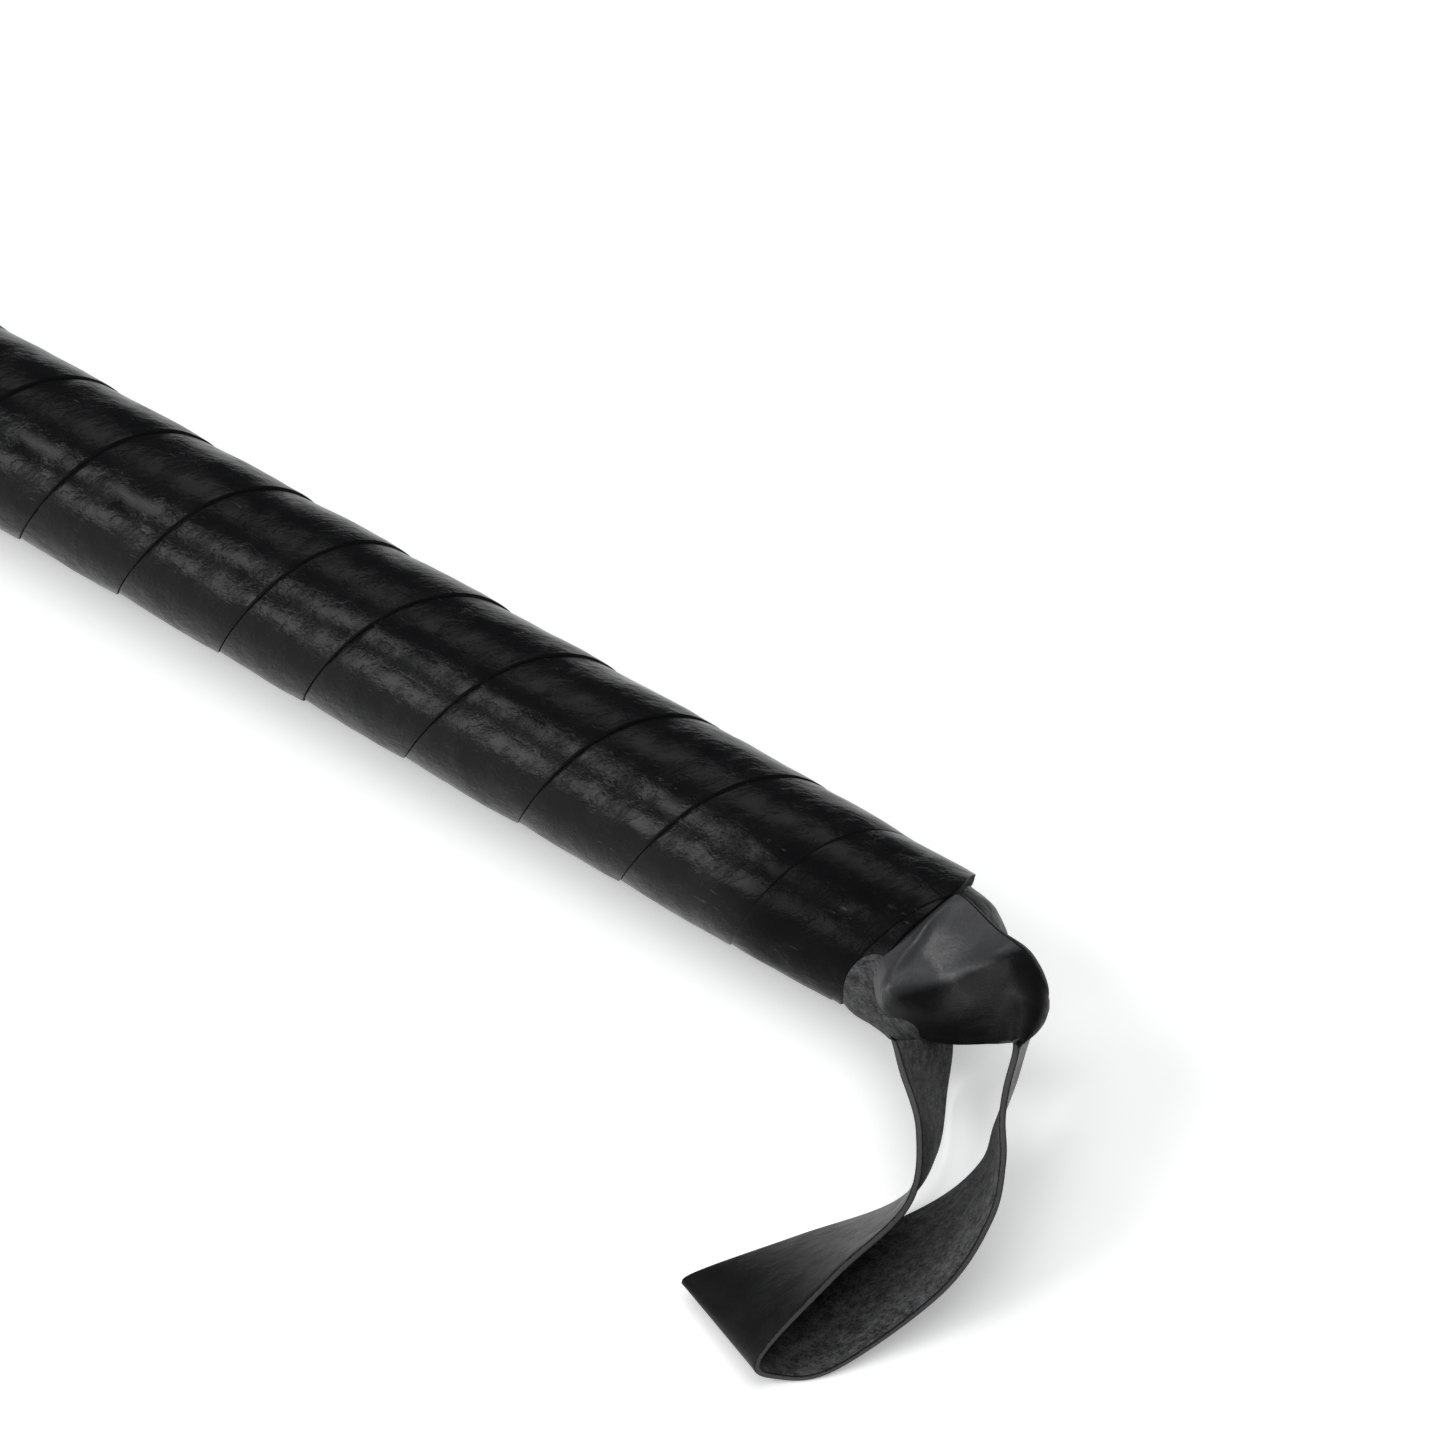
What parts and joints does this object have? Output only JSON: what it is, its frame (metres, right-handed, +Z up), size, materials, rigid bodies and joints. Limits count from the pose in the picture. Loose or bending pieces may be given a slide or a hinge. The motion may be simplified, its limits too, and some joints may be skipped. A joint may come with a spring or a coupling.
{
  "type": "riding crop",
  "caption": "Short riding crop: spirally leather-wrapped grip with twisted wrist loop at the butt, tapered braided shaft and stitched leather tongue at the tip.",
  "frame": {"origin": "centre of the crop's box, on the surface it lies on", "axes": "+X along the crop towards the butt and its wrist loop, +Y to the side away from the loop, +Z up"},
  "size_m": [0.5158, 0.0532, 0.0161],
  "materials": {
    "core_rod": "glass fibre, satin",
    "grip_former": "moulded",
    "grip_padding": "foam",
    "butt_plug": "turned, raw",
    "butt_cap": "smooth, domed",
    "strap_tail_a": "smooth one side, suede the other",
    "strap_tail_b": "smooth one side, suede the other",
    "strap_tacks": "nickel plated",
    "tail_binding": "waxed linen thread",
    "wrap_strip_a": "smooth, semi-gloss",
    "wrap_strip_b": "smooth, semi-gloss",
    "wrist_loop": "smooth outside, suede inside",
    "front_filler": "wound paper and thread",
    "front_collar": "smooth, semi-gloss",
    "collar_cord": "waxed cord",
    "shaft_cover": "braided nylon",
    "tip_cap": "plain",
    "tongue_tab_top": "smooth",
    "tongue_tab_bottom": "smooth",
    "tip_whipping": "waxed thread",
    "tongue_top": "smooth, semi-gloss",
    "tongue_bottom": "smooth, semi-gloss",
    "tongue_stitching": "waxed thread"
  },
  "bodies": {
    "crop": {"core_rod": "core_rod", "grip_former": "grip_former", "grip_padding": "grip_padding", "butt_plug": "butt_plug", "butt_cap": "butt_cap", "strap_tail_a": "strap_tail_a", "strap_tail_b": "strap_tail_b", "strap_tacks": "strap_tacks", "tail_binding": "tail_binding", "wrap_strip_a": "wrap_strip_a", "wrap_strip_b": "wrap_strip_b", "front_filler": "front_filler", "front_collar": "front_collar", "collar_cord": "collar_cord", "shaft_cover": "shaft_cover", "tip_cap": "tip_cap", "tongue_tab_top": "tongue_tab_top", "tongue_tab_bottom": "tongue_tab_bottom", "tip_whipping": "tip_whipping"},
    "strap": {"wrist_loop": "wrist_loop"},
    "tongue": {"tongue_top": "tongue_top", "tongue_bottom": "tongue_bottom", "tongue_stitching": "tongue_stitching"}
  },
  "joints": [
    {"name": "loop_swing", "type": "hinge", "parent": "crop", "child": "strap", "pos_m": [0.24208, 0.0136, 0.0074], "axis": [1, 0, 0], "range_deg": [-90, 60]},
    {"name": "tongue_flex", "type": "hinge", "parent": "crop", "child": "tongue", "pos_m": [-0.19742, 0.0136, 0.0074], "axis": [0, 1, 0], "range_deg": [-35, 35], "stiffness_Nm_per_rad": 0.02}
  ]
}
